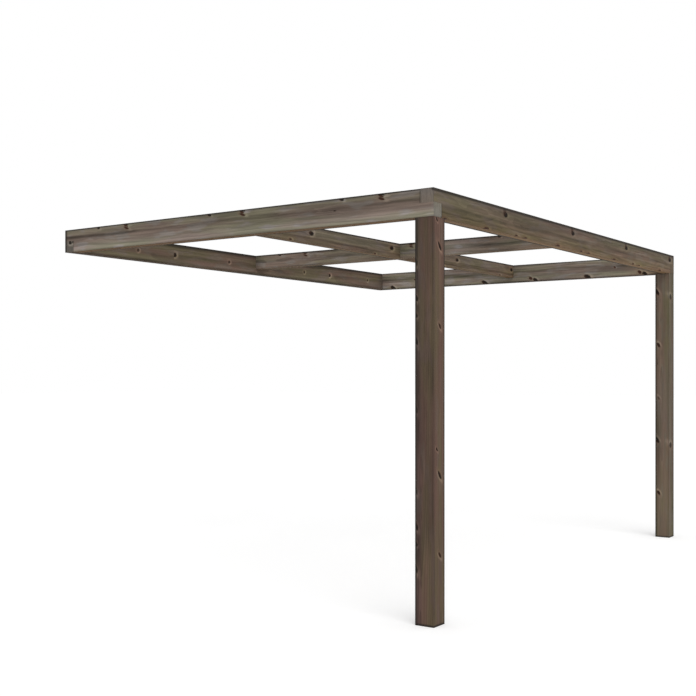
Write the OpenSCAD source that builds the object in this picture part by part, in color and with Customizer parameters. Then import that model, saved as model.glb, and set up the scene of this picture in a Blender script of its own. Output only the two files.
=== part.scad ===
// Wall pergola: a level frame of half-lapped timbers. One long side lies flat on
// a wall, and two posts carry the other. Millimetres. The origin is the centre of
// the wall beam's back face: +X runs along the wall, +Y into it and +Z up.

/* [Whole frame] */
// Length of the frame along the wall
frame_w = 4050; // [2400:50:6000]
// From the wall to the front face
frame_d = 3010; // [1800:10:4200]
// From the ground to the top of the frame
frame_h = 2400; // [2000:10:3000]

/* [Outer beams] */
// Height of the four outer beams
beam_h = 157; // [140:1:240]
// Thickness of the four outer beams
beam_t = 85; // [60:1:110]

/* [Centre timbers] */
// Height of the rafter and the noggings
centre_h = 115; // [70:1:130]
// Thickness of the rafter and the noggings
centre_t = 70; // [45:1:120]

/* [Posts] */
// Side of the square posts
post_s = 120; // [100:1:200]

/* [Joints] */
// Play between a lap and the shoulder beside it
lap_gap = 0.6; // [0.2:0.1:0.9]
// How deep a centre timber is let into an outer beam
housing_d = 25; // [12:1:40]
// Play at the sides and the end of a timber in its housing
housing_gap = 0.5; // [0.2:0.1:0.9]

/* [Finish] */
// Radius of the eased long edges
edge_r = 3; // [1:0.5:6]

/* [Hidden] */
// Which half of a beam's end a lap takes away
UPPER = 1;
LOWER = -1;
// The frame is flush on top, and its top is half a beam above the origin
top_z = beam_h / 2;
ground_z = top_z - frame_h;
post_h = frame_h - beam_h;
// Inner faces of the outer beams
inner_x = frame_w / 2 - beam_t;
inner_wall_y = -beam_t;
inner_front_y = -frame_d + beam_t;
// A housed end stops short of the bottom of its housing
housed_l = housing_d - housing_gap;
// The noggings lie halfway between the wall and the front
nogging_y = -frame_d / 2;
nogging_end_x = inner_x + housed_l;
// How far a cut runs past the faces that it opens
past = 2;
// Facets of a rounded edge, built as true arcs
round_fn = 32;

// Squared section with eased edges, centred
module eased_section(w, h) {
    square([w - 2 * edge_r, h], center = true);
    square([w, h - 2 * edge_r], center = true);
    for (side = [-1, 1])
        for (end = [-1, 1])
            translate([side * (w / 2 - edge_r), end * (h / 2 - edge_r)])
                circle(edge_r, $fn = round_fn);
}

// Timber along +X from the origin, flush with the top of the frame
module timber(length, w, h) {
    translate([0, 0, top_z - h / 2])
        rotate([90, 0, 90])
            linear_extrude(length)
                eased_section(w, h);
}

// Takes away one half of a timber's height over length l, from the origin
// towards -X, and runs past its end and its sides
module lap_cut(half, l, w, h) {
    cut_h = h / 2 + past;
    middle_z = top_z - h / 2;
    translate([-l - lap_gap, -w / 2 - past, half == UPPER ? middle_z : middle_z - cut_h])
        cube([l + lap_gap + past, w + 2 * past, cut_h]);
}

// Outer beam centred on the origin, with the named half taken away at each end
// where it crosses the next outer beam
module lapped_beam(length, half) {
    start_half = half[0];
    end_half = half[1];
    difference() {
        translate([-length / 2, 0, 0])
            timber(length, beam_t, beam_h);
        translate([length / 2, 0, 0])
            lap_cut(end_half, beam_t, beam_t, beam_h);
        mirror([1, 0, 0])
            translate([length / 2, 0, 0])
                lap_cut(start_half, beam_t, beam_t, beam_h);
    }
}

// Housing for the end of a centre timber, cut from a face at the origin towards
// +X: open on top, with a floor that the timber rests on
module housing() {
    opening_w = centre_t + 2 * housing_gap;
    translate([-past, -opening_w / 2, top_z - centre_h])
        cube([housing_d + past, opening_w, centre_h + past]);
}

module wall_beam() {
    color([0.34, 0.29, 0.25])
        difference() {
            translate([0, -beam_t / 2, 0])
                lapped_beam(frame_w, [UPPER, UPPER]);
            translate([0, inner_wall_y, 0])
                rotate([0, 0, 90])
                    housing();
        }
}

module front_beam() {
    color([0.39, 0.34, 0.29])
        difference() {
            translate([0, -frame_d + beam_t / 2, 0])
                lapped_beam(frame_w, [LOWER, LOWER]);
            translate([0, inner_front_y, 0])
                rotate([0, 0, -90])
                    housing();
        }
}

// The beam on the +X side: its front end goes under the front beam, and its
// other end lies on the wall beam
module side_beam() {
    difference() {
        translate([frame_w / 2 - beam_t / 2, -frame_d / 2, 0])
            rotate([0, 0, 90])
                lapped_beam(frame_d, [UPPER, LOWER]);
        translate([inner_x, nogging_y, 0])
            housing();
    }
}

module right_side_beam() {
    color([0.4, 0.35, 0.3])
        side_beam();
}

module left_side_beam() {
    color([0.43, 0.39, 0.35])
        mirror([1, 0, 0])
            side_beam();
}

// The rafter is whole from beam to beam, with a notch in its top for the noggings
module centre_rafter() {
    rafter_from_y = inner_front_y - housed_l;
    rafter_to_y = inner_wall_y + housed_l;
    notch_w = centre_t + 2 * lap_gap;
    color([0.38, 0.33, 0.28])
        difference() {
            translate([0, rafter_from_y, 0])
                rotate([0, 0, 90])
                    timber(rafter_to_y - rafter_from_y, centre_t, centre_h);
            translate([-centre_t / 2 - past, nogging_y - notch_w / 2, top_z - centre_h / 2])
                cube([centre_t + 2 * past, notch_w, centre_h / 2 + past]);
        }
}

// The nogging on the +X side: a housed end in the side beam, and an upper tongue
// that rests in the rafter's notch and ends at the middle of the rafter
module nogging() {
    tongue_end_x = lap_gap / 2;
    tongue_l = centre_t / 2 - tongue_end_x;
    translate([0, nogging_y, 0])
        difference() {
            translate([tongue_end_x, 0, 0])
                timber(nogging_end_x - tongue_end_x, centre_t, centre_h);
            mirror([1, 0, 0])
                translate([-tongue_end_x, 0, 0])
                    lap_cut(LOWER, tongue_l, centre_t, centre_h);
        }
}

module right_nogging() {
    color([0.37, 0.32, 0.27])
        nogging();
}

module left_nogging() {
    color([0.4, 0.36, 0.32])
        mirror([1, 0, 0])
            nogging();
}

// The post under the +X front corner, flush with the frame's outer faces
module post() {
    translate([frame_w / 2 - post_s / 2, -frame_d + post_s / 2, ground_z])
        linear_extrude(post_h)
            eased_section(post_s, post_s);
}

module right_post() {
    color([0.36, 0.32, 0.28])
        post();
}

module left_post() {
    color([0.35, 0.29, 0.25])
        mirror([1, 0, 0])
            post();
}

wall_beam();
left_side_beam();
right_side_beam();
front_beam();
centre_rafter();
left_nogging();
right_nogging();
left_post();
right_post();
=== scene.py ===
# %% [markdown]
# # A pergola in stained softwood
# The frame comes in as finished solids, one for each timber, in metres. What is
# left to do is to make them look like wood: planed softwood with a thin
# grey-brown stain that has been outdoors for some years. Each timber is dressed
# from its own box, so that a changed frame is dressed again.

import bpy
import math
import numpy as np
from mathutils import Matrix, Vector
from types import SimpleNamespace


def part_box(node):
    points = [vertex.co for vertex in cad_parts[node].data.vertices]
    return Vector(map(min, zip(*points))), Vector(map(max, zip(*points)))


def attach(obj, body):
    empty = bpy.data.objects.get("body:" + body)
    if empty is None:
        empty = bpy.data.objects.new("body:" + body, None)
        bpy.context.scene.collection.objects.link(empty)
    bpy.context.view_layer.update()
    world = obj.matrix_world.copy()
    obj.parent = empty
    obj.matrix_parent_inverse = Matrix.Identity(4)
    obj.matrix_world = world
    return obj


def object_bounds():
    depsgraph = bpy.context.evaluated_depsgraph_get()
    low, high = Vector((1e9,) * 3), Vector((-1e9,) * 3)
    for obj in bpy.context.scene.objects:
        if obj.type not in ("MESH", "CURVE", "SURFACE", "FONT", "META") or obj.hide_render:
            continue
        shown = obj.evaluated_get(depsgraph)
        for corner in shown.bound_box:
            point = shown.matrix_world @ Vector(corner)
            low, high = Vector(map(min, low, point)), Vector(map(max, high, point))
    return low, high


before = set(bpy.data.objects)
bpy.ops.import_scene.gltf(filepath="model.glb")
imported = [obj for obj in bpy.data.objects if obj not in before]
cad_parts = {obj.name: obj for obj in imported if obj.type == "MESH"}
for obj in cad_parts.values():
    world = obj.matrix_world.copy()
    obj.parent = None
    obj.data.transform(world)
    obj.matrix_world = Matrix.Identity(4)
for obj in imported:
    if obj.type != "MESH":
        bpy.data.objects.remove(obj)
cad_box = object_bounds()
cad_low, cad_high = Vector(cad_box[0]), Vector(cad_box[1])
print("timbers:", sorted(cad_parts))
print("frame from", tuple(cad_low), "to", tuple(cad_high))

# %% [markdown]
# The camera stands to the left of the pergola, 1.37 m above the ground, and
# looks level along a line 35 degrees off the front. A constraint could aim it
# at the frame, but a level camera keeps every post upright in the picture, and
# a small shift of the lens then lifts the view without tilting it.

# %% Camera
# Its place in metres and its turn in degrees
CAMERA_X = -7.0274
CAMERA_Y = -5.9435
EYE_HEIGHT = 1.3725
VIEW_TURN = 35.005
QUARTER_TURN = 90
IMAGE_PIXELS = 696
FOCAL_PIXELS = 1062.2
HORIZON_PIXEL = 375.85
SENSOR_MM = 36.0
GROUND_Z = cad_low.z

camera_data = bpy.data.cameras.new("camera")
camera_data.sensor_width = SENSOR_MM
camera_data.lens = SENSOR_MM * FOCAL_PIXELS / IMAGE_PIXELS
camera_data.shift_y = (HORIZON_PIXEL - IMAGE_PIXELS / 2) / IMAGE_PIXELS
camera = bpy.data.objects.new("camera", camera_data)
camera.location = (CAMERA_X, CAMERA_Y, GROUND_Z + EYE_HEIGHT)
camera.rotation_euler = (math.radians(QUARTER_TURN), 0, math.radians(VIEW_TURN - QUARTER_TURN))
bpy.context.scene.collection.objects.link(camera)
bpy.context.scene.camera = camera
print("lens", round(camera_data.lens, 2), "mm, shift", round(camera_data.shift_y, 4))

# %% [markdown]
# Light, floor and wood are all finished with nodes. By hand, each setting and
# each link of one is a line. Two helpers do it at once: an input is written as
# what goes into it, a plain value or the socket that feeds it.

# %% Placing nodes
def feed(tree, socket, value):
    """Links a socket or a signal to an input, or sets a plain value on it."""
    source = getattr(value, "socket", value)
    if isinstance(source, bpy.types.NodeSocket):
        tree.links.new(source, socket)
    else:
        socket.default_value = source


def place(tree, kind, inputs=(), **settings):
    """Adds a node, with its inputs by name or number and its settings by name."""
    made = tree.nodes.new("ShaderNode" + kind)
    for key, value in settings.items():
        setattr(made, key, value)
    for key, value in dict(inputs).items():
        feed(tree, made.inputs[key], value)
    return made


print("node helpers ready")

# %% [markdown]
# The studio's light is an even sky. It could come from an image of real clouds,
# but a plain one keeps each colour as it is written. The camera sees pure white
# in its place, and so do metal and glass: the Light Path node tells those rays
# from all the others.

# %% Sky
SKY_STRENGTH = 0.62
BACKDROP_STRENGTH = 1.0
WHITE = (1, 1, 1, 1)


def seen(tree):
    """1 where a ray comes from the camera, straight or by way of metal or glass."""
    rays = place(tree, "LightPath").outputs
    mirrored = {0: rays["Is Camera Ray"], 1: rays["Is Glossy Ray"]}
    either = place(tree, "Math", mirrored, operation="MAXIMUM").outputs[0]
    through = {0: either, 1: rays["Is Transmission Ray"]}
    return place(tree, "Math", through, operation="MAXIMUM").outputs[0]


world = bpy.data.worlds.new("even_sky")
world.use_nodes = True
world_tree = world.node_tree
world_tree.nodes.clear()
sky = place(world_tree, "Background", {"Color": WHITE, "Strength": SKY_STRENGTH})
backdrop = place(world_tree, "Background", {"Color": WHITE, "Strength": BACKDROP_STRENGTH})
shaders = {0: seen(world_tree), 1: sky.outputs[0], 2: backdrop.outputs[0]}
either_sky = place(world_tree, "MixShader", shaders)
place(world_tree, "OutputWorld", {"Surface": either_sky.outputs[0]})
bpy.context.scene.world = world
print("sky strength", SKY_STRENGTH)

# %% [markdown]
# The floor is one large pale square at the feet of the posts. A sheet bent up
# behind the frame could hide where it ends. Here it has a little light of its
# own instead, which only the same rays see: it meets the white background
# without a line, and keeps the soft shadow.

# %% Floor
FLOOR_REACH = 60.0
FLOOR_SHADE = 0.86
FLOOR_ROUGHNESS = 0.9
FLOOR_GLOW = 0.3

floor_mesh = bpy.data.meshes.new("floor")
corner_signs = ((-1, -1), (1, -1), (1, 1), (-1, 1))
floor_corners = [(x * FLOOR_REACH, y * FLOOR_REACH, GROUND_Z) for x, y in corner_signs]
floor_mesh.from_pydata(floor_corners, [], [(0, 1, 2, 3)])
floor = bpy.data.objects.new("floor", floor_mesh)
bpy.context.scene.collection.objects.link(floor)
floor_material = bpy.data.materials.new("pale_floor")
floor_material.use_nodes = True
floor_tree = floor_material.node_tree
floor_surface = floor_tree.nodes["Principled BSDF"].inputs
floor_surface["Base Color"].default_value = (FLOOR_SHADE, FLOOR_SHADE, FLOOR_SHADE, 1)
floor_surface["Roughness"].default_value = FLOOR_ROUGHNESS
floor_surface["Specular IOR Level"].default_value = 0.0
floor_surface["Emission Color"].default_value = WHITE
glow = place(floor_tree, "Math", {0: seen(floor_tree), 1: FLOOR_GLOW}, operation="MULTIPLY")
feed(floor_tree, floor_surface["Emission Strength"], glow.outputs[0])
floor_mesh.materials.append(floor_material)
print("floor at", round(GROUND_Z, 4), "m")

# %% [markdown]
# An even sky alone would leave all faces alike. A sun half way up the sky, in
# front and to the left, tells front from side and top from underside. An area
# lamp would do so too, but its light fades along the frame. The sun is so wide
# that no shadow has a hard edge.

# %% Sun
SUN_STRENGTH = 1.25
SUN_WIDTH = 50
SUN_FROM = Vector((-0.75, -1.0, 1.1))

sun_data = bpy.data.lights.new("wide_sun", "SUN")
sun_data.energy = SUN_STRENGTH
sun_data.angle = math.radians(SUN_WIDTH)
sun = bpy.data.objects.new("wide_sun", sun_data)
sun.rotation_euler = SUN_FROM.to_track_quat("Z", "Y").to_euler()
bpy.context.scene.collection.objects.link(sun)
bpy.context.scene.view_settings.view_transform = "Standard"
print("sun strength", SUN_STRENGTH, "and width", SUN_WIDTH, "degrees")

# %% [markdown]
# Wood is a solid, not a skin. A tree lays down one ring a year round its pith,
# and a saw cut through those rings gives the lines of a plank's face. So the
# grain here is worked out for every point inside the timber, and each face, end
# and lap shows its own cut of it. An image wrapped round the timber would be
# quicker, but its lines would break at every edge.
#
# All of that is sums on points, and shader nodes do sums one node at a time. A
# small class lets them be written as plain arithmetic: a sum on two signals
# places the node that works it out and gives back its result.

# %% Sums as nodes
class Signal:
    """A number, vector or colour inside a node tree. Sums on it place nodes."""

    def __init__(self, tree, socket):
        self.tree = tree
        self.socket = socket
        self.is_vector = socket.type in ("VECTOR", "RGBA")

    def math(self, operation, *values, output=0):
        """Places one sum. Numbers beside a vector count for all three of its parts."""
        is_vector = any(isinstance(v, tuple) or getattr(v, "is_vector", False) for v in values)
        if is_vector:
            values = [(v, v, v) if isinstance(v, (int, float)) else v for v in values]
        kind = "VectorMath" if is_vector else "Math"
        made = place(self.tree, kind, enumerate(values), operation=operation)
        return Signal(self.tree, made.outputs[output])

    def __add__(self, other):
        return self.math("ADD", self, other)

    def __sub__(self, other):
        return self.math("SUBTRACT", self, other)

    def __rsub__(self, other):
        return self.math("SUBTRACT", other, self)

    def __mul__(self, other):
        return self.math("MULTIPLY", self, other)

    def __truediv__(self, other):
        return self.math("DIVIDE", self, other)

    __radd__ = __add__
    __rmul__ = __mul__


print("signals ready")

# %% [markdown]
# Two sums come back all over the wood. The soft step turns a value into a mask
# with a soft edge. Where that edge starts and ends is a named pair, a ramp. The
# noise has a frequency of its own in each direction, because everything in wood
# is drawn out along its grain. With one scale it could only make spots.

# %% Soft steps and drawn-out noise
# A timber's own directions: the first number always runs along the grain
ALONG = (1.0, 0.0, 0.0)
BESIDE = (0.0, 1.0, 0.0)
UP = (0.0, 0.0, 1.0)
ACROSS = (0.0, 1.0, 1.0)
ZERO = (0.0, 0.0, 0.0)
# How far one whole step of the seed moves the noise
SEED_STEP = (13.7, 5.1, 9.3)


def length(vector):
    """How long a vector is."""
    return vector.math("LENGTH", vector, output="Value")


def dot(first, second):
    """How far the first vector reaches along the second, times how long that is."""
    return first.math("DOT_PRODUCT", first, second, output="Value")


def highest(first, second):
    """The higher of two values."""
    return first.math("MAXIMUM", first, second)


def split(vector):
    """The three parts of a vector."""
    parts = place(vector.tree, "SeparateXYZ", {0: vector}).outputs
    return [Signal(vector.tree, part) for part in parts]


def joined(parts):
    """A vector from its three parts."""
    tree = parts[0].tree
    return Signal(tree, place(tree, "CombineXYZ", enumerate(parts)).outputs[0])


def soft_step(value, start, end):
    """Eases from 0 at start to 1 at end. With start above end it falls instead."""
    ends = {"Value": value, "From Min": start, "From Max": end}
    made = place(value.tree, "MapRange", ends, interpolation_type="SMOOTHSTEP")
    return Signal(value.tree, made.outputs["Result"])


def noise(point, frequency, seed, detail=2.0, roughness=0.5, output="Fac"):
    """Noise with its own frequency along, beside and up, moved on by the seed."""
    spot = point * frequency + point.math("MULTIPLY", seed, SEED_STEP)
    inputs = {"Vector": spot, "Scale": 1.0, "Detail": detail, "Roughness": roughness}
    made = place(point.tree, "TexNoise", inputs)
    return Signal(point.tree, made.outputs[output])


print("soft steps and noise ready")

# %% [markdown]
# A node group is a shader's function: it is wired once and used by all nine
# timbers. Nine copies of its nodes would look the same, but be hard to change.
# These helpers name its sockets after the words in the code, so that its inputs
# and results are read as attributes.

# %% Node groups
NUMBER, VECTOR, COLOUR = 1, 3, 4
SOCKET_KINDS = {NUMBER: "NodeSocketFloat", VECTOR: "NodeSocketVector", COLOUR: "NodeSocketColor"}


def title(word):
    """The name of the socket for a word of the code: edge_reach is Edge Reach."""
    return word.replace("_", " ").title()


def signals(tree, sockets):
    """The sockets as signals, each under its own word."""
    named = {s.name.lower().replace(" ", "_"): Signal(tree, s) for s in sockets if s.name}
    return SimpleNamespace(**named)


def make_group(name, wire, **inputs):
    """A shader node group. The wire function takes its inputs and returns its results."""
    group = bpy.data.node_groups.new(name, "ShaderNodeTree")
    for word, value in inputs.items():
        kind = SOCKET_KINDS[len(value) if isinstance(value, tuple) else NUMBER]
        made = group.interface.new_socket(title(word), in_out="INPUT", socket_type=kind)
        made.default_value = value
    given = signals(group, group.nodes.new("NodeGroupInput").outputs)
    results = wire(given)
    for word, signal in results.items():
        size = COLOUR if word == "color" else VECTOR if signal.is_vector else NUMBER
        group.interface.new_socket(title(word), in_out="OUTPUT", socket_type=SOCKET_KINDS[size])
    output = group.nodes.new("NodeGroupOutput")
    for word, signal in results.items():
        feed(group, output.inputs[title(word)], signal)
    print(name, "has", len(group.nodes), "nodes")
    return group


def use(tree, group, **values):
    """Places a node group and returns its results."""
    made = tree.nodes.new("ShaderNodeGroup")
    made.node_tree = group
    for word, value in values.items():
        feed(tree, made.inputs[title(word)], value)
    return signals(tree, made.outputs)


print("group helpers ready")

# %% [markdown]
# A knot is the root of a branch. A dead one is a nearly black oval with a line
# of bark round it, and a live one is red-brown and tight. Branches grow upward,
# so the saw cuts them at a slant: the wood is pale and hard on one side of the
# oval, red with resin on the other, and the grain parts to go round. One group
# makes one knot and passes on what the knots before it made, so knots are
# threaded like beads. A scatter of random cells would need less wiring, but it
# can't put a knot where this timber has one.

# %% Knots
# The size of the oval, and how much luck and a ragged rim change it
OVAL_SIZE = 1.08
LUCKY_SIZE = 0.14
RAGGED_RIM = 0.8
# Ramps over the distance from the knot's middle, in radii of the oval
CORE_RAMP = (1.08, 0.84)
BARK_INNER_RAMP = (0.75, 1.0)
BARK_OUTER_RAMP = (1.4, 1.05)
PALE_RAMP = (2.9, 1.4)
GLOW_RAMP = (3.2, 1.4)
RESIN_RAMP = (2.8, 1.1)
# Ramps over how far a point lies to the pale side of the oval
PALE_SIDE_RAMP = (-0.2, 0.8)
RESIN_SIDE_RAMP = (0.1, -1.1)
GLOW_SHARE = 0.4
RESIN_SHARE = 0.6
# The grain gives way within this many radii, along, beside and up
GIVES_WAY = (4.0, 2.4, 2.4)
GIVES_WAY_RAMP = (1.0, 0.15)
PUSH_ASIDE = (0.0, -0.8, -0.8)


def wire_knot(given):
    """The oval is where the slanted offset, over the three radii, is shorter than 1."""
    offset = given.point - given.centre
    spread = (offset - given.slant * dot(offset, ALONG)) / given.radii
    size = OVAL_SIZE + given.luck * LUCKY_SIZE
    reach = (length(spread) + (given.ragged - 0.5) * RAGGED_RIM) / size
    core = soft_step(reach, *CORE_RAMP) * given.strength
    ring = soft_step(reach, *BARK_INNER_RAMP) * soft_step(reach, *BARK_OUTER_RAMP)
    bark = ring * (given.strength - given.live)
    side = dot(spread, given.pale_side)
    rim = soft_step(reach, *PALE_RAMP) * soft_step(side, *PALE_SIDE_RAMP)
    glow = soft_step(reach, *GLOW_RAMP) * GLOW_SHARE
    halo = highest(rim, glow) * given.strength * given.pale
    resin = soft_step(reach, *RESIN_RAMP) * soft_step(side, *RESIN_SIDE_RAMP)
    resin = resin * given.strength * RESIN_SHARE
    near = soft_step(length(spread / GIVES_WAY), *GIVES_WAY_RAMP)
    push = offset * near * PUSH_ASIDE
    return {
        "core": highest(core, given.core),
        "red": highest(highest(core * given.live, resin), given.red),
        "bark": highest(bark, given.bark),
        "halo": highest(halo, given.halo),
        "push": push + given.push,
    }


THREADED = ("core", "red", "bark", "halo", "push")
knot = make_group(
    "knot", wire_knot, point=ZERO, centre=ZERO, radii=(0.02, 0.01, 0.01), slant=ZERO,
    pale_side=ALONG, pale=1.0, live=0.0, strength=1.0, luck=0.5, ragged=0.5,
    core=0.0, red=0.0, bark=0.0, halo=0.0, push=ZERO)

# %% [markdown]
# A tree is never a true cylinder. Before any ring or streak is worked out, the
# point is moved a few millimetres sideways by noise that is drawn out along the
# grain, and past the knots. The finished lines could be bent one kind at a time
# instead, but everything that uses the moved point flows the same way, as it
# does in one piece of wood.

# %% Wandering grain
SLOW_SWAY = (0.8, 3.0, 3.0)
QUICK_SWAY = (4.5, 18.0, 18.0)
SLOW_SHARE = 2.0
QUICK_SHARE = 0.6


def wire_wander(given):
    """Adds the knots' push and two noises, one slow and one quick, beside the grain."""
    slow = noise(given.point, SLOW_SWAY, given.seed, 1.0, output="Color") - 0.5
    quick = noise(given.point, QUICK_SWAY, given.seed, output="Color") - 0.5
    sway = (slow * SLOW_SHARE + quick * QUICK_SHARE) * given.sway
    return {"point": given.point + given.push + sway * ACROSS}


wander = make_group("wander", wire_wander, point=ZERO, push=ZERO, sway=0.015, seed=0.0)

# %% [markdown]
# Growth rings are tubes round the pith. Blender's wave texture can draw rings,
# but all of one width and shade. Counting them by the distance from the pith
# lets the years differ: noise makes them wide and narrow, each draws its own
# shade, and the dark wood of late summer stops at once where spring begins.

# %% Growth rings
UNEVEN_SCALE = 55.0
UNEVEN_YEARS = 2.0
LATE_RAMP = (0.2, 0.9)
SPRING_RAMP = (1.0, 0.92)


def chance(number):
    """A value from 0 to 1 that looks random, the same each time for one number."""
    made = place(number.tree, "TexWhiteNoise", {"W": number}, noise_dimensions="1D")
    return Signal(number.tree, made.outputs["Value"])


def wire_rings(given):
    """The distance from the pith, over the width of a ring, counts the years."""
    radius = length((given.point - given.pith) * ACROSS)
    inputs = {"W": radius, "Scale": UNEVEN_SCALE}
    made = place(radius.tree, "TexNoise", inputs, noise_dimensions="1D")
    uneven = Signal(radius.tree, made.outputs[0])
    years = radius / given.width + uneven * UNEVEN_YEARS
    part = years.math("FRACT", years)
    late = soft_step(part, *LATE_RAMP) * soft_step(part, *SPRING_RAMP)
    return {"late": late, "year": chance(years.math("FLOOR", years))}


rings = make_group("rings", wire_rings, point=ZERO, pith=ZERO, width=0.0055)

# %% [markdown]
# Heartwood takes less stain than sapwood, so a sawn face has a few broad bands
# that run its whole length. Noise alone would put them anywhere, so a band is a
# layer of the timber: it has a direction, a place on it and a reach to both
# sides. Most lie across the grain. A few lie along it, where the light or dark
# of a face changes from one end to the other, and near the joints these paint
# shade and warm bounced light.

# %% Bands
# Noise along the grain, with its own seed for each place
BAND_NOISE = (1.3, 0.0, 0.0)
BAND_SEEDS = 70.0
BAND_RAMP = (0.36, 0.62)
BAND_LEAST = 0.75
BAND_SWING = 0.5


def wire_band(given):
    """Full at its place and eased to nothing at its reach. It comes and goes along the grain."""
    off = dot(given.point, given.across) - given.spot
    share = soft_step(off.math("ABSOLUTE", off) / given.reach, 1.0, 0.0)
    slow = noise(given.point, BAND_NOISE, given.spot * BAND_SEEDS, 1.0)
    lighter = given.lighter * (BAND_LEAST + soft_step(slow, *BAND_RAMP) * BAND_SWING)
    return {"tone": given.tone + share * lighter, "warmth": given.warmth + share * given.warmer}


band = make_group(
    "band", wire_band, point=ZERO, across=UP, spot=0.0, reach=0.02, lighter=0.0, warmer=0.0,
    tone=0.0, warmth=0.0)

# %% [markdown]
# On top of the bands come streaks and patches, where the stain went in
# unevenly, and the fibres that the planer raised. Each of them could be painted
# by hand. Noise does it for all faces at once, and only its frequencies along
# and across the grain tell a broad streak from a single fibre.

# %% Streaks
BROAD_NOISE = (0.9, 15.0, 15.0)
PATCH_NOISE = (2.8, 78.0, 78.0)
HUE_NOISE = (1.2, 13.0, 13.0)
GREY_NOISE = (6.0, 24.0, 24.0)
FIBRE_NOISE = (14.0, 520.0, 520.0)
FIBRE_DETAIL = 4.0
FIBRE_ROUGHNESS = 0.7
TONE_RAMP = (0.32, 0.68)
HUE_RAMP = (0.36, 0.64)
GREY_RAMP = (0.50, 0.65)


def wire_streaks(given):
    """Five noises, each with its own seed. The tone is the mean of two of them."""
    broad = noise(given.point, BROAD_NOISE, given.seed)
    patch = noise(given.point, PATCH_NOISE, given.seed + 1.0)
    hue = noise(given.point, HUE_NOISE, given.seed + 2.0)
    grey = noise(given.point, GREY_NOISE, given.seed + 3.0)
    fibre = noise(given.point, FIBRE_NOISE, given.seed + 4.0, FIBRE_DETAIL, FIBRE_ROUGHNESS)
    return {
        "tone": soft_step(broad * 0.5 + patch * 0.5, *TONE_RAMP),
        "hue": soft_step(hue, *HUE_RAMP),
        "grey": soft_step(grey, *GREY_RAMP),
        "fibre": fibre,
    }


streaks = make_group("streaks", wire_streaks, point=ZERO, seed=0.0)

# %% [markdown]
# Sun and rain open thin cracks along the grain. They could be cut into the
# mesh, but a crack is thinner than the render's pixels. A line where drawn-out
# noise crosses its middle value wanders and forks as a crack does, and a second
# noise keeps it in some stretches only.

# %% Drying cracks
CRACK_NOISE = (1.1, 30.0, 30.0)
CRACK_WIDTH = 0.007
STRETCH_NOISE = (1.5, 9.0, 9.0)
STRETCH_SEED = 8.2
STRETCH_LIMIT = 0.76
LIMIT_BY_AMOUNT = 0.35
STRETCH_RAMP = (0.0, 0.05)


def wire_cracks(given):
    """Thin lines at the middle value of one noise, kept where a second one is high."""
    field = noise(given.point, CRACK_NOISE, given.seed) - 0.5
    line = soft_step(field.math("ABSOLUTE", field), CRACK_WIDTH, 0.0)
    where = noise(given.point, STRETCH_NOISE, given.seed + STRETCH_SEED, 1.0)
    limit = STRETCH_LIMIT - given.amount * LIMIT_BY_AMOUNT
    return {"crack": line * soft_step(where - limit, *STRETCH_RAMP)}


cracks = make_group("drying_cracks", wire_cracks, point=ZERO, amount=0.3, seed=0.0)

# %% [markdown]
# Weather works on a timber from outside. The sky bleaches the tops, while the
# undersides stay dry and keep the warm colour of new stain, and the cut ends go
# grey first. Dirt settles at the foot and at one end, and the faces darken in
# the last few centimetres before the back of the frame. The edges get dark lines
# of dirt and painted shade, most on two of the four, and painted shade darkens
# each joint's shoulder, where one timber meets the next, and the stretch before
# it. A mask could be painted on each face, but a distance to the timber's box
# and the direction of the face give them all.

# %% What the weather reaches
# Ramps over the direction of a face, where 1 is straight towards it
UNDER_RAMP = (-0.5, -0.9)
SKY_RAMP = (0.5, 0.9)
CUT_RAMP = (0.6, 0.9)
BACKWARD_RAMP = (0.9, 0.5)
# Dark edges of dirt and painted shade: wider where fibres are ragged and below,
# and two of four are paler
RAGGED_REACH = 0.010
UNDER_REACH = 0.010
EDGE_RAMP = (1.0, 0.5)
PAIR_RAMP = (0.0, -0.0003)
PALER_EDGE = 0.25
SKY_WASHES = 0.6
# Ramps in metres: from the back of the frame, above the ground and from a cut end
BACK_RAMP = (-0.028, -0.012)
FOOT_TOP = 0.018
FOOT_FULL = 0.006
END_RAMP = (0.003, -0.005)
CUT_RIM_RAMP = (0.008, 0.002)
CUT_RIM = 0.3
# A joint's shoulder: how far past it painted shade shows, on which half of the height
SHOULDER_RAMP = (0.012, 0.003)
INSIDE_RAMP = (-0.004, 0.0)
HALF_RAMP = (-0.001, 0.001)
NEARER_END_RAMP = (-0.1, 0.1)
SHOULDER_SHADE = 0.45
# Painted shade over the stretch before a joint
CORNER_RAMP = (0.110, 0.0)


def lowest(first, second):
    """The lower of two values."""
    return first.math("MINIMUM", first, second)


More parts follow.
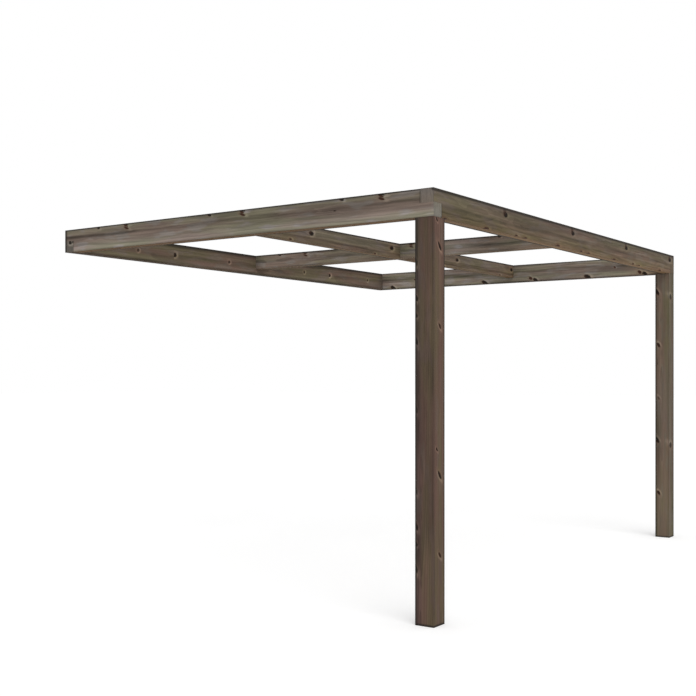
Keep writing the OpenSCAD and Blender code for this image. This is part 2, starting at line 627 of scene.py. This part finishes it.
def wire_exposure(given):
    """Masks from the distance to the nearest edge and from the direction of the face."""
    to_faces = lowest(given.point - given.low, given.high - given.point)
    _, beside_room, above_room = split(to_faces)
    to_edge = length(to_faces * ACROSS)
    _, beside, above = split(given.point - (given.low + given.high) * 0.5)
    # Two of the four edges get darker lines of dirt and painted shade
    darker_pair = soft_step(beside * above, *PAIR_RAMP)
    tree = given.point.tree
    normal = Signal(tree, place(tree, "TexCoord").outputs["Normal"])
    _, backward, upward = split(normal)
    under = soft_step(upward, *UNDER_RAMP)
    # Dark lines along the edges: dirt, and painted shade of the rounded arrises
    reach = given.edge_reach + given.ragged * RAGGED_REACH + under * UNDER_REACH
    darkening = soft_step(to_edge / reach, *EDGE_RAMP)
    facing = dot(normal, given.grain)
    cut = soft_step(facing.math("ABSOLUTE", facing), *CUT_RAMP)
    _, frame_y, frame_z = split(given.frame_point)
    from_low, _, _ = split(given.point - given.low)
    from_high, _, _ = split(given.high - given.point)
    at_back = soft_step(frame_y, *BACK_RAMP) * soft_step(backward, *BACKWARD_RAMP)
    at_foot = soft_step(frame_z, given.ground + FOOT_TOP, given.ground + FOOT_FULL)
    at_end = soft_step(from_high - given.end_dirt, *END_RAMP) * (1.0 - cut)
    past_joint = lowest(from_low, from_high) - given.shoulder
    low_half, high_half, _ = split(given.shoulder_half)
    half = low_half + (high_half - low_half) * soft_step(from_low - from_high, *NEARER_END_RAMP)
    # Painted shade: a thin dark line in the joint's shoulder, where one timber meets the next
    shoulder_shade = soft_step(past_joint, *SHOULDER_RAMP) * soft_step(past_joint, *INSIDE_RAMP)
    shoulder_shade = shoulder_shade * soft_step(above * half, *HALF_RAMP) * (SHOULDER_SHADE - cut)
    # Painted shade over the stretch before the joint, as dark as its setting
    corner_shade = soft_step(past_joint, *CORNER_RAMP) * given.grime
    rim_of_cut = soft_step(lowest(above_room, beside_room), *CUT_RIM_RAMP) * cut * CUT_RIM
    sky = soft_step(upward, *SKY_RAMP)
    return {
        "edge": darkening * (PALER_EDGE + darker_pair * (1 - PALER_EDGE)) * (1.0 - sky * SKY_WASHES),
        "sky": sky,
        "under": under,
        "cut": cut,
        # Dirt, with the painted shade of the joints
        "dirt": highest(
            highest(at_back, at_foot),
            highest(highest(at_end, rim_of_cut), highest(shoulder_shade, corner_shade))),
    }


exposure = make_group(
    "exposure", wire_exposure, point=ZERO, frame_point=ZERO, low=(-1.0, -1.0, -1.0),
    high=(1.0, 1.0, 1.0), grain=ALONG, ground=0.0, ragged=0.5, edge_reach=0.007, end_dirt=0.002,
    shoulder=-1.0, shoulder_half=ZERO, grime=0.0)

# %% [markdown]
# The stain puts it together. Each timber was dipped by itself, so each has its
# own middle colour, which patches turn towards olive, rose or grey. Then come
# the light and dark of bands, streaks, rings and fibres, and last what lies in
# or on the wood, knots, dirt and cracks, and the painted shade of edges and
# joints. A colour ramp over one mask would be less to write, but it can't keep
# these apart. The same masks give the roughness and the height for bump, so
# what looks sunken is shaded as sunken.

# %% The stain
KNOT_COLOUR = (0.009, 0.006, 0.004, 1.0)
LIVE_KNOT_COLOUR = (0.068, 0.027, 0.016, 1.0)
RESIN_COLOUR = (0.120, 0.062, 0.038, 1.0)
DIRT_AND_SHADE_COLOUR = (0.027, 0.024, 0.020, 1.0)
BLEACHED = (0.215, 0.196, 0.172)
WARM_TINT = (0.06, -0.015, -0.16)
# How much of its colour each mask lays on
LAYS_ON = SimpleNamespace(
    grey=0.85, under=0.9, cut=0.92, sky=0.55, red=0.6, core=0.97, bark=0.75, dirt=0.85, crack=0.85)
# How far each mask makes the wood lighter or darker
LIGHT = SimpleNamespace(level=1.03, year=0.34, fibre=0.55, late=0.20, late_at_cut=0.08, halo=0.75)
# How much of the streaks and bands a cut end or a bleached top hides
HIDES = SimpleNamespace(streaks_at_cut=0.7, bands_at_sky=0.8, bands_at_cut=0.8)
ROUGH = SimpleNamespace(level=0.62, fibre=0.2, sky=0.12)
HEIGHT = SimpleNamespace(late=0.3, fibre=0.5, core=0.5, bark=0.9, crack=3.0)
# The Mix node's sockets for colours, by number
MIX_FIRST, MIX_SECOND, MIX_RESULT = 6, 7, 2


def blend(share, first, second):
    """The first colour with a share of the second."""
    inputs = {0: share, MIX_FIRST: first, MIX_SECOND: second}
    made = place(share.tree, "Mix", inputs, data_type="RGBA")
    return Signal(share.tree, made.outputs[MIX_RESULT])


def wire_stain(given):
    """Colour, roughness and height of the stained wood, from the other groups' masks."""
    colour = blend(given.hue, given.olive, given.rose)
    colour = blend(given.grey * LAYS_ON.grey, colour, given.ash)
    colour = blend(given.under * LAYS_ON.under, colour, given.sheltered)
    colour = blend(given.cut * LAYS_ON.cut, colour, given.end)
    swing = (given.tone - 0.5) * given.contrast * (1.0 - given.cut * HIDES.streaks_at_cut)
    lines = (given.year - 0.5) * given.contrast * LIGHT.year
    bands = given.band * (1.0 - given.sky * HIDES.bands_at_sky)
    bands = bands * (1.0 - given.cut * HIDES.bands_at_cut)
    light = LIGHT.level + swing + lines + bands + (given.fibre - 0.5) * LIGHT.fibre
    light = light * (1.0 - given.late * (LIGHT.late + given.cut * LIGHT.late_at_cut))
    colour = colour * light * (1.0 + given.warmth * WARM_TINT)
    colour = blend(given.sky * LAYS_ON.sky, colour, light * BLEACHED)
    colour = blend(given.red * LAYS_ON.red, colour * (1.0 + given.halo * LIGHT.halo), RESIN_COLOUR)
    colour = blend(given.core * LAYS_ON.core, colour, blend(given.red, KNOT_COLOUR, LIVE_KNOT_COLOUR))
    colour = blend(given.bark * LAYS_ON.bark, colour, KNOT_COLOUR)
    # Dark edges and the dirt mask, dirt and painted shade alike, take this colour
    colour = blend(highest(given.edge, given.dirt) * LAYS_ON.dirt, colour, DIRT_AND_SHADE_COLOUR)
    colour = blend(given.crack * (LAYS_ON.crack - given.cut * LAYS_ON.crack), colour, KNOT_COLOUR)
    rough = ROUGH.level + given.fibre * ROUGH.fibre + given.sky * ROUGH.sky
    height = given.late * HEIGHT.late + given.fibre * HEIGHT.fibre + given.core * HEIGHT.core
    height = height - given.bark * HEIGHT.bark - given.crack * HEIGHT.crack
    return {"color": colour, "roughness": rough, "height": height}


MASKS = ("hue", "grey", "tone", "fibre", "late", "year", "band", "warmth", "core", "red", "bark",
         "halo", "crack", "edge", "sky", "under", "cut", "dirt")
COLOURS = ("olive", "rose", "ash", "sheltered", "end")
stain = make_group(
    "stain", wire_stain, contrast=0.5, **dict.fromkeys(MASKS, 0.0),
    **dict.fromkeys(COLOURS, (0.13, 0.11, 0.08, 1.0)))

# %% [markdown]
# A timber lies along X or Y or stands along Z, but its wood doesn't care. So a
# point is first moved and turned into the timber's own coordinates: along the
# grain, beside the middle line, and up. On a beam up is counted from its top
# face, and on a post it is the distance from the middle towards the back. One
# group for each direction would also do, with three times the wiring.

# %% A timber's own coordinates
AXES = "XYZ"
ORDER = {"X": "XYZ", "Y": "YXZ", "Z": "ZXY"}


def turned(vector, order):
    """A vector's three parts in the order along, beside, up."""
    return tuple(vector[AXES.index(letter)] for letter in order)


def zero_point(low, high, grain):
    """On the timber's middle line, at its top if it lies and on the ground if it stands."""
    middle = (low + high) / 2
    if grain == "Z":
        return Vector((middle.x, middle.y, GROUND_Z))
    origin = Vector((middle.x, middle.y, high.z))
    origin[AXES.index(grain)] = 0.0
    return origin


print("axes in order along, beside, up:", ORDER)

# %% [markdown]
# Branches leave a pine in whorls, one whorl a year, so the knots of a timber
# come in groups at regular steps along it. A modulo brings every whorl back to
# the first one, so a handful of knot groups fills the whole length, where one
# group for each knot would need dozens. A ping-pong over the numbers of whorl
# and knot makes each knot a little larger or smaller than the last.

# %% Threading knots and bands
RAGGED_NOISE = (45.0, 75.0, 75.0)
LUCK_BY_WHORL = 0.37
LUCK_BY_KNOT = 0.61
DIRECTIONS = {"along": ALONG, "beside": BESIDE, "up": UP}


def branch(centre, radii, live=0.0, strength=1.0):
    """One knot: its middle, its radii, how alive the branch was and how strongly it shows."""
    return dict(centre=centre, radii=radii, live=live, strength=strength)


def layer(direction, spot, reach, lighter, warmer=0.0):
    """One band: its direction, place and reach, and how much lighter and warmer it is."""
    return dict(
        across=DIRECTIONS[direction], spot=spot, reach=reach, lighter=lighter, warmer=warmer)


def thread_knots(point, knots, step, seed, lean):
    """Joins one knot group after another and returns the last one's results."""
    along, beside, above = split(point)
    whorl = along.math("FLOOR", along / step)
    home = joined((along - whorl * step, beside, above))
    ragged = noise(point, RAGGED_NOISE, seed)
    before = {}
    for number, traits in enumerate(knots):
        start = (number + seed) * LUCK_BY_KNOT
        luck = whorl.math("PINGPONG", whorl * LUCK_BY_WHORL + start, 1.0)
        made = use(point.tree, knot, point=home, luck=luck, ragged=ragged, **traits, **lean, **before)
        before = {word: getattr(made, word) for word in THREADED}
    return made


def thread_bands(point, bands):
    """Adds up the bands and returns the last one's results."""
    before = {}
    for traits in bands:
        made = use(point.tree, band, point=point, **traits, **before)
        before = {"tone": made.tone, "warmth": made.warmth}
    return made


print("knots and bands can be threaded")

# %% [markdown]
# One function now dresses a timber: it brings the groups together in a material
# of the timber's own and keeps the shader itself plain. A single material for
# all nine would be shorter, but each real timber has its own colour, knots and
# layers. Its colour, underside and cut ends are given as a display shows them.

# %% Dressing a timber
BUMP_DEPTH = 0.0012
BUMP_STRENGTH = 0.6
WOOD_SPECULAR = 0.06
WHORL_STEP = 1.026
# How olive, rose and ashen patches differ from a timber's middle colour
OLIVE = (-1, 2, -5)
ROSE = (4, -2, -1)
ASH = (10, 11, 15)
# The curve of a display: a short straight foot, then a power
DISPLAY_WHITE = 255
FOOT_END = 0.04045
FOOT_SLOPE = 12.92
CURVE_OFFSET = 0.055
CURVE_POWER = 2.4


def from_display(colour, change=(0, 0, 0), share=1.0):
    """A display colour from 0 to 255, with a share of a change, made linear for the nodes."""
    shown = (np.array(colour) + np.array(change) * share) / DISPLAY_WHITE
    curve = ((shown + CURVE_OFFSET) / (1 + CURVE_OFFSET)) ** CURVE_POWER
    return (*np.where(shown <= FOOT_END, shown / FOOT_SLOPE, curve).tolist(), 1.0)


def dress(node, grain, colour, sheltered, end, pith, bands, knots, lean, seed, bloom, dirt,
          step=WHORL_STEP, contrast=0.62, sway=0.015):
    """Gives one timber its stained wood. Bloom is how ashen the grey patches are."""
    low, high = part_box(node)
    origin = zero_point(low, high, grain)
    order = ORDER[grain]
    material = bpy.data.materials.new(node + "_wood")
    material.use_nodes = True
    tree = material.node_tree
    frame_point = Signal(tree, place(tree, "TexCoord").outputs["Object"])
    point = joined(turned(split(frame_point - tuple(origin)), order))
    knotty = thread_knots(point, knots, step, seed, lean)
    flowing = use(tree, wander, point=point, push=knotty.push, sway=sway, seed=seed).point
    grown = use(tree, rings, point=flowing, pith=(0.0, *pith))
    banded = thread_bands(flowing, bands)
    soaked = use(tree, streaks, point=flowing, seed=seed)
    opened = use(tree, cracks, point=flowing, seed=seed)
    exposed = use(
        tree, exposure, point=point, frame_point=frame_point, low=turned(low - origin, order),
        high=turned(high - origin, order), grain=tuple(float(a == grain) for a in AXES),
        ground=GROUND_Z, ragged=soaked.fibre, **dirt)
    stained = use(
        tree, stain, contrast=contrast, olive=from_display(colour, OLIVE),
        rose=from_display(colour, ROSE), ash=from_display(colour, ASH, bloom),
        sheltered=from_display(sheltered), end=from_display(end), hue=soaked.hue,
        grey=soaked.grey, tone=soaked.tone, fibre=soaked.fibre, late=grown.late, year=grown.year,
        band=banded.tone, warmth=banded.warmth, core=knotty.core, red=knotty.red,
        bark=knotty.bark, halo=knotty.halo, crack=opened.crack, **vars(exposed))
    relief = {"Height": stained.height, "Distance": BUMP_DEPTH, "Strength": BUMP_STRENGTH}
    bump = place(tree, "Bump", relief)
    surface = tree.nodes["Principled BSDF"].inputs
    feed(tree, surface["Base Color"], stained.color)
    feed(tree, surface["Roughness"], stained.roughness)
    feed(tree, surface["Normal"], bump.outputs["Normal"])
    surface["Specular IOR Level"].default_value = WOOD_SPECULAR
    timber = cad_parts[node]
    timber.data.materials.clear()
    timber.data.materials.append(material)
    print(node, "has grain along", grain, "with", len(knots), "knots a step")


# %% [markdown]
# The front beam comes first. Places on it are in metres, and its knots are
# those of one step. Its pith lies well to one side, so that the broad faces
# show wide flames and the ends nearly straight lines, as timber cut from a
# large log does. A face is read from its bands one by one, where a single mixed
# texture would hide what does what.
#
# Of the dirt and painted shade, edge_reach is how wide the dark edges are,
# end_dirt how far dirt has crept in from the high end, shoulder how long the
# joint at each end is, where a thin line of painted shade lies, shoulder_half
# which half is cut away there, at the low and at the high end, and the last
# setting how dark the painted shade over the stretch before the joint is. Of
# the lean, pale is how pale the wood round a knot is, and slant how far its
# branch leans.

# %% The front beam
FRONT_BEAM_KNOTS = (
    branch((0.893, -0.042, -0.045), (0.022, 0.020, 0.012)),
    branch((0.881, -0.042, -0.019), (0.014, 0.014, 0.022), strength=0.6),
    branch((0.645, -0.037, -0.156), (0.026, 0.011, 0.009), live=0.9),
    branch((0.010, -0.036, -0.156), (0.026, 0.011, 0.009), live=0.8),
    branch((0.150, -0.035, -0.157), (0.026, 0.009, 0.008), live=1.0),
    branch((0.400, 0.042, -0.048), (0.020, 0.022, 0.014), live=0.2),
    branch((0.760, 0.042, -0.118), (0.013, 0.016, 0.010), live=0.9),
    branch((0.300, 0.012, 0.000), (0.018, 0.011, 0.016), live=0.1),
)
UPPER, LOWER = 1.0, -1.0
BEAM_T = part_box("front_beam")[1].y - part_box("front_beam")[0].y
LONG_LEAN = dict(slant=ZERO, pale_side=(0.8, 0.0, -0.5))
dress(
    "front_beam", grain="X", colour=(108, 96, 83), sheltered=(119, 99, 80), end=(124, 114, 104),
    pith=(0.28, -0.08), seed=1.0, bloom=0.4, contrast=0.48,
    knots=FRONT_BEAM_KNOTS, lean=LONG_LEAN | dict(pale=0.3),
    bands=(
        layer("up", -0.088, 0.017, -0.20), layer("up", -0.112, 0.009, 0.10),
        layer("up", -0.124, 0.008, -0.16), layer("up", -0.157, 0.026, 0.24, 0.4),
        layer("up", -0.157, 0.090, -0.03, 0.9), layer("up", 0.000, 0.070, 0.00, -0.6),
    ),
    dirt=dict(edge_reach=0.018, end_dirt=0.022, shoulder=BEAM_T,
              shoulder_half=(LOWER, LOWER, 0.0)))

# %% [markdown]
# The wall beam lies at the back, where the sun reaches it least, and its upper
# half is darkest. It could share the front beam's wood, but the two are seen
# side by side through the bays, and real timbers are never twins.

# %% The wall beam
WALL_BEAM_KNOTS = (
    branch((0.648, -0.042, -0.085), (0.010, 0.018, 0.009), strength=0.8),
    branch((0.010, -0.042, -0.085), (0.015, 0.018, 0.012)),
    branch((0.027, -0.011, -0.090), (0.020, 0.012, 0.010)),
    branch((0.330, 0.042, -0.051), (0.016, 0.018, 0.011), live=0.8),
    branch((0.840, 0.010, 0.000), (0.018, 0.011, 0.016), live=0.2),
)
dress(
    "wall_beam", grain="X", colour=(97, 85, 73), sheltered=(88, 66, 43), end=(118, 111, 102),
    pith=(0.25, -0.11), seed=2.0, bloom=0.4, contrast=0.40,
    knots=WALL_BEAM_KNOTS, lean=LONG_LEAN | dict(pale=1.7),
    bands=(
        layer("up", 0.000, 0.055, -0.56, -0.1), layer("up", -0.092, 0.022, -0.08),
        layer("up", -0.132, 0.022, 0.28, -0.3), layer("up", -0.157, 0.014, -0.42),
    ),
    # Its last setting paints shade over the stretch before each joint
    dirt=dict(edge_reach=0.018, end_dirt=0.002, shoulder=BEAM_T,
              shoulder_half=(UPPER, UPPER, 0.0), grime=0.35))

# %% [markdown]
# The side beams run from front to back. Their grain is straight, and sun and
# rain have turned them greyest. A dark band above the middle and a pale lower
# half are what tells their outer faces. They could be one timber, mirrored, but
# then the same knots would show twice in one view.

# %% The side beams
LEFT_BEAM_KNOTS = (
    branch((0.685, -0.040, -0.008), (0.013, 0.012, 0.007)),
    branch((0.424, -0.040, 0.000), (0.026, 0.012, 0.007)),
    branch((0.412, -0.042, -0.016), (0.016, 0.012, 0.005), live=0.8),
    branch((0.408, -0.042, -0.031), (0.018, 0.012, 0.006), live=0.6),
    branch((0.180, 0.042, -0.070), (0.022, 0.022, 0.015), live=0.2),
    branch((0.900, 0.042, -0.120), (0.014, 0.016, 0.010), live=0.8),
    branch((0.530, 0.004, -0.157), (0.015, 0.010, 0.014), live=0.6),
)
RIGHT_BEAM_KNOTS = (
    branch((0.812, -0.042, -0.145), (0.024, 0.020, 0.014)),
    branch((0.292, -0.042, -0.146), (0.018, 0.020, 0.013)),
    branch((0.337, -0.042, -0.130), (0.014, 0.016, 0.012), live=0.7),
    branch((0.560, -0.042, -0.075), (0.008, 0.012, 0.006), live=0.8),
    branch((0.120, 0.042, -0.060), (0.022, 0.022, 0.015), live=0.2),
    branch((0.700, 0.042, -0.115), (0.015, 0.016, 0.011), live=0.6),
    branch((0.920, -0.010, 0.000), (0.018, 0.011, 0.016), live=0.1),
)
CROSS_LEAN = dict(slant=(0.0, 0.0, 0.3), pale_side=(-0.8, 0.0, 0.4), pale=0.55)
SIDE_BEAM = dict(
    grain="Y", bloom=1.0, sway=0.008, lean=CROSS_LEAN,
    dirt=dict(edge_reach=0.006, end_dirt=0.002, shoulder=BEAM_T,
              shoulder_half=(UPPER, LOWER, 0.0)))
dress(
    "left_side_beam", colour=(119, 110, 99), sheltered=(84, 58, 28), end=(127, 121, 109),
    pith=(0.30, -0.06), seed=3.0, knots=LEFT_BEAM_KNOTS,
    bands=(
        layer("up", -0.059, 0.019, -0.44, 0.1), layer("up", -0.150, 0.085, 0.43, -0.3),
        layer("up", -0.128, 0.045, 0.18, -0.2), layer("up", -0.004, 0.020, -0.06, -0.5),
    ), **SIDE_BEAM)
dress(
    "right_side_beam", colour=(122, 113, 102), sheltered=(76, 54, 33), end=(102, 92, 82),
    pith=(0.26, -0.10), seed=4.0, knots=RIGHT_BEAM_KNOTS,
    bands=(
        layer("up", -0.063, 0.028, -0.42, 0.1), layer("up", -0.125, 0.034, 0.22, -0.2),
        layer("up", -0.157, 0.016, -0.42), layer("up", -0.004, 0.020, -0.14, -0.5),
        # Painted shade and warm bounced light near the front beam
        layer("along", -2.900, 0.400, -0.08, 1.2),
    ), **SIDE_BEAM)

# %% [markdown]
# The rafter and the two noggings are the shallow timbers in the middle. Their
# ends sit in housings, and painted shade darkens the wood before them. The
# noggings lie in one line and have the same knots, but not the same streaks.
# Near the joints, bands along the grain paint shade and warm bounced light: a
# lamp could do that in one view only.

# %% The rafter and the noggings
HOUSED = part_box("centre_rafter")[1].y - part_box("wall_beam")[0].y
NOGGING_KNOTS = (
    branch((0.872, -0.040, -0.047), (0.019, 0.020, 0.011)),
    branch((0.640, -0.034, -0.112), (0.013, 0.009, 0.007), live=0.8),
    branch((0.330, 0.036, -0.060), (0.017, 0.020, 0.012), live=0.5),
    branch((0.520, 0.004, 0.000), (0.015, 0.010, 0.014), live=0.1),
)
CENTRE = dict(
    sheltered=(103, 84, 63), end=(118, 111, 102),
    # The last setting paints shade over the stretch before each housing
    dirt=dict(edge_reach=0.010, end_dirt=0.0, shoulder=HOUSED, grime=0.35))
NOGGING = dict(grain="X", bloom=0.5, knots=NOGGING_KNOTS, lean=LONG_LEAN) | CENTRE
dress(
    "centre_rafter", grain="Y", colour=(113, 104, 93), pith=(0.24, -0.04), seed=5.0, bloom=1.0,
    knots=LEFT_BEAM_KNOTS, lean=CROSS_LEAN,
    bands=(
        layer("up", -0.061, 0.024, -0.36, -0.2), layer("up", -0.106, 0.034, 0.18, 0.1),
        # The first band along the grain paints warm bounced light next to the front beam
        layer("along", -2.920, 0.500, 0.17, 0.8), layer("along", -2.050, 0.300, 0.40, -0.6),
    ), **CENTRE)
dress(
    "left_nogging", colour=(112, 100, 91), pith=(0.24, -0.09), seed=6.0,
    bands=(
        layer("up", -0.090, 0.026, -0.44, 0.1), layer("up", -0.115, 0.070, 0.04, 0.8),
        layer("up", -0.004, 0.018, -0.20, -0.4), layer("up", -0.042, 0.018, -0.08),
        # Painted shade and warm bounced light next to the rafter
        layer("along", -0.050, 0.350, -0.08, 0.8),
    ), **NOGGING)
dress(
    "right_nogging", colour=(108, 96, 85), pith=(0.24, -0.03), seed=7.0,
    bands=(
        layer("up", -0.088, 0.028, -0.40, 0.1), layer("up", -0.115, 0.070, 0.04, 0.8),
        # The band along the grain paints shade and warm bounced light by the side beam
        layer("up", -0.004, 0.018, -0.30, -0.4), layer("along", 1.930, 0.300, -0.06, 0.8),
    ), **NOGGING)

# %% [markdown]
# The posts are cut round the heart of a small log, so their pith lies inside
# them and their faces are plain. Five of the left post's knots sit on one edge:
# they stand for the ragged rim where the log was too small for the square. A
# mesh with a wavy edge could show it too, but the frame's own solids stay as
# they are.

# %% The posts
LEFT_POST_KNOTS = (
    branch((0.827, 0.004, -0.060), (0.017, 0.009, 0.020)),
    branch((0.388, 0.005, -0.060), (0.013, 0.009, 0.020), live=0.4),
    branch((0.970, -0.027, -0.060), (0.009, 0.006, 0.010)),
    branch((0.448, -0.060, 0.053), (0.011, 0.016, 0.007)),
    branch((0.545, -0.060, 0.051), (0.020, 0.016, 0.007)),
    branch((0.314, -0.060, 0.054), (0.044, 0.016, 0.007)),
    branch((0.745, -0.060, 0.054), (0.028, 0.016, 0.006), strength=0.8),
    branch((1.200, -0.060, 0.055), (0.050, 0.016, 0.006), strength=0.7),
    branch((0.560, 0.060, 0.010), (0.022, 0.020, 0.012), live=0.4),
    branch((1.100, 0.022, 0.060), (0.020, 0.011, 0.020), live=0.2),
)
RIGHT_POST_KNOTS = (
    branch((0.829, -0.060, 0.045), (0.020, 0.018, 0.012)),
    branch((0.378, -0.060, 0.031), (0.016, 0.018, 0.010), live=0.3),
    branch((1.184, -0.060, 0.031), (0.013, 0.016, 0.008), live=0.4, strength=0.6),
    branch((0.785, -0.026, -0.060), (0.022, 0.020, 0.012), strength=0.85),
    branch((0.600, 0.060, -0.012), (0.022, 0.020, 0.012), live=0.3),
    branch((0.180, 0.015, 0.060), (0.020, 0.011, 0.020), live=0.1),
)
NO_DIRT = -1.0
POST = dict(
    grain="Z", end=(96, 84, 72), step=1.258,
    # With no shoulder, a thin line of painted shade lies at both ends of a post
    dirt=dict(edge_reach=0.010, end_dirt=NO_DIRT, shoulder=0.0))
dress(
    "left_post", colour=(102, 85, 74), sheltered=(101, 84, 73), pith=(0.012, 0.020), seed=8.0,
    bloom=0.15, contrast=0.18, knots=LEFT_POST_KNOTS,
    lean=dict(slant=(0.0, -0.6, 0.3), pale_side=(-0.6, -0.8, 0.0)),
    bands=(
        layer("beside", -0.060, 0.006, -0.28, -0.2), layer("up", 0.062, 0.060, -0.20, -0.9),
        layer("up", 0.045, 0.005, -0.20), layer("up", -0.056, 0.030, -0.03),
        layer("beside", 0.062, 0.024, -0.20, -0.6),
    ), **POST)
dress(
    "right_post", colour=(97, 88, 76), sheltered=(97, 88, 78), pith=(-0.020, 0.010), seed=9.0,
    bloom=0.2, contrast=0.35, knots=RIGHT_POST_KNOTS,
    lean=dict(slant=(0.0, -0.1, 0.4), pale_side=(0.8, -0.2, -0.5)),
    bands=(
        layer("beside", -0.060, 0.006, 0.02, 0.5), layer("beside", -0.060, 0.060, 0.26, -0.3),
        layer("beside", 0.062, 0.070, -0.28), layer("up", 0.060, 0.050, -0.38, 0.1),
        layer("up", -0.052, 0.060, 0.04, 0.1),
    ), **POST)

# %% [markdown]
# Wood screws hold the joints from above, where they don't show from the ground:
# two across each corner lap and one through each end of a centre timber. Their
# places could be typed in, but worked out from the timbers' boxes they stay on
# their joints when the frame changes.

# %% Where the screws sit
CORNER_SPREAD = 0.021
END_INSET = 0.012


def middle_of(node):
    """The middle of a timber's box."""
    low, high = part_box(node)
    return (low + high) / 2


def screw_places():
    """The top of each lap, and the ends of the centre timbers."""
    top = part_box("front_beam")[1].z
    places = []
    for side in ("left_side_beam", "right_side_beam"):
        for cross in ("wall_beam", "front_beam"):
            x, y = middle_of(side).x, middle_of(cross).y
            lean = math.copysign(CORNER_SPREAD, x * (y - middle_of(side).y))
            places += [(x - CORNER_SPREAD, y - lean, top), (x + CORNER_SPREAD, y + lean, top)]
    low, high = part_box("centre_rafter")
    x = middle_of("centre_rafter").x
    places += [(x, y, top) for y in (low.y + END_INSET, high.y - END_INSET)]
    for nogging in ("left_nogging", "right_nogging"):
        low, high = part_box(nogging)
        y = middle_of(nogging).y
        places += [(x, y, top) for x in (low.x + END_INSET, high.x - END_INSET)]
    return np.array(places)


places = screw_places()
print(len(places), "screws")

# %% [markdown]
# A countersunk head is a shallow turned piece with a six-lobed recess. A
# cylinder with a star cut out of it would do, but the whole head is also one
# surface of two parameters, the ring and the angle: each ring's radius swings
# six times round by its own amount. Real heads pull into the wood, and these
# stand 0.6 mm proud of it, because the timbers have no bores to take them. All
# heads are one mesh, and each is turned by chance, as real ones are.

# %% Screw heads
HEAD_RINGS = np.array((
    # radius, swing, height
    (0.0052, 0.0000, -0.0010),
    (0.0056, 0.0000, 0.0002),
    (0.0051, 0.0000, 0.0006),
    (0.0027, 0.0004, 0.0006),
    (0.0024, 0.0004, 0.0001),
))
HEAD_SIDES = 48
LOBES = 6
TURN_SEED = 6


def screw_heads(places):
    """Ring k at angle a lies at radius r + s cos 6a, with r, s and height from its row."""
    turns = np.random.default_rng(TURN_SEED).uniform(0, math.tau, len(places))
    angle = np.linspace(0, math.tau, HEAD_SIDES, endpoint=False)
    radius, swing, height = HEAD_RINGS.T[:, :, None]
    radius = radius + swing * np.cos(LOBES * angle)
    around = angle + turns[:, None, None]
    x = places[:, 0, None, None] + radius * np.cos(around)
    y = places[:, 1, None, None] + radius * np.sin(around)
    z = places[:, 2, None, None] + height + 0 * x
    return np.stack((x, y, z), axis=-1)


def mesh_of(grids, name):
    """One mesh of closed turned pieces: quads from ring to ring, and a lid at both ends."""
    count, rings_each, sides = grids.shape[:3]
    index = np.arange(count * rings_each * sides).reshape(count, rings_each, sides)
    onward = np.roll(index, -1, axis=2)
    quads = np.stack((index[:, :-1], onward[:, :-1], onward[:, 1:], index[:, 1:]), axis=-1)
    lids = [*index[:, -1].tolist(), *index[:, 0, ::-1].tolist()]
    mesh = bpy.data.meshes.new(name)
    mesh.from_pydata(grids.reshape(-1, 3).tolist(), [], quads.reshape(-1, 4).tolist() + lids)
    return mesh


screw_mesh = mesh_of(screw_heads(places), "screw_heads")
print(len(screw_mesh.polygons), "faces on", len(places), "heads")

# %% [markdown]
# Zinc keeps a screw bright for a year or two, then it dulls and rust comes
# through in spots. A plain metal with one colour would look new. One noise is
# enough here: where it is high, the surface turns brown, rough and no longer
# metallic.

# %% Weathered zinc
ZINC_COLOUR = (0.30, 0.29, 0.27, 1.0)
RUST_COLOUR = (0.085, 0.035, 0.016, 1.0)
RUST_NOISE = (260.0, 260.0, 260.0)
RUST_DETAIL = 3.0
RUST_RAMP = (0.46, 0.60)
RUST_SEED = 3.0
ZINC_ROUGHNESS = 0.42
RUST_ROUGHNESS = 0.4


def wire_zinc(given):
    """Dull zinc with rust where one noise is high."""
    darkening = noise(given.point, RUST_NOISE, given.seed, RUST_DETAIL)
    rust = soft_step(darkening, *RUST_RAMP)
    colour = blend(rust, ZINC_COLOUR, RUST_COLOUR)
    rough = ZINC_ROUGHNESS + rust * RUST_ROUGHNESS
    return {"color": colour, "roughness": rough, "metal": 1.0 - rust}


zinc = make_group("weathered_zinc", wire_zinc, point=ZERO, seed=0.0)
screw_material = bpy.data.materials.new("weathered_zinc")
screw_material.use_nodes = True
screw_tree = screw_material.node_tree
screw_point = Signal(screw_tree, place(screw_tree, "TexCoord").outputs["Object"])
rusted = use(screw_tree, zinc, point=screw_point, seed=RUST_SEED)
screw_surface = screw_tree.nodes["Principled BSDF"].inputs
feed(screw_tree, screw_surface["Base Color"], rusted.color)
feed(screw_tree, screw_surface["Roughness"], rusted.roughness)
feed(screw_tree, screw_surface["Metallic"], rusted.metal)
screw_mesh.materials.append(screw_material)
screws = bpy.data.objects.new("screw_heads", screw_mesh)
bpy.context.scene.collection.objects.link(screws)
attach(screws, "root")
print("screws ride on the frame")

# %% [markdown]
